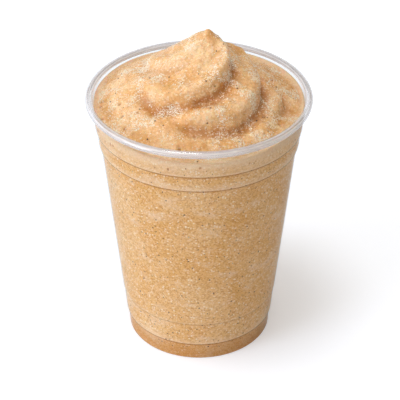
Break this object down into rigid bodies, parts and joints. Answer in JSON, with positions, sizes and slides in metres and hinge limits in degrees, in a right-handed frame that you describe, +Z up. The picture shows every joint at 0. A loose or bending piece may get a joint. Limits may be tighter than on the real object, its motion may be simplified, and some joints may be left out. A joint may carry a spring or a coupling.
{
  "type": "frozen coffee drink in a clear cup",
  "caption": "Tall clear plastic take-away cup filled with a blended frozen coffee drink that rises above the rim in a soft swirled peak",
  "frame": {"origin": "centre of the bottom of the bounding box, on the floor under the cup's foot", "axes": "+Z up along the cup's axis, -Y towards the front, +X to the right seen from the front"},
  "size_m": [0.098, 0.098, 0.1496],
  "materials": {
    "cup": "gloss",
    "drink": "matte"
  },
  "bodies": {
    "root": {"cup": "cup", "drink": "drink"}
  },
  "joints": []
}
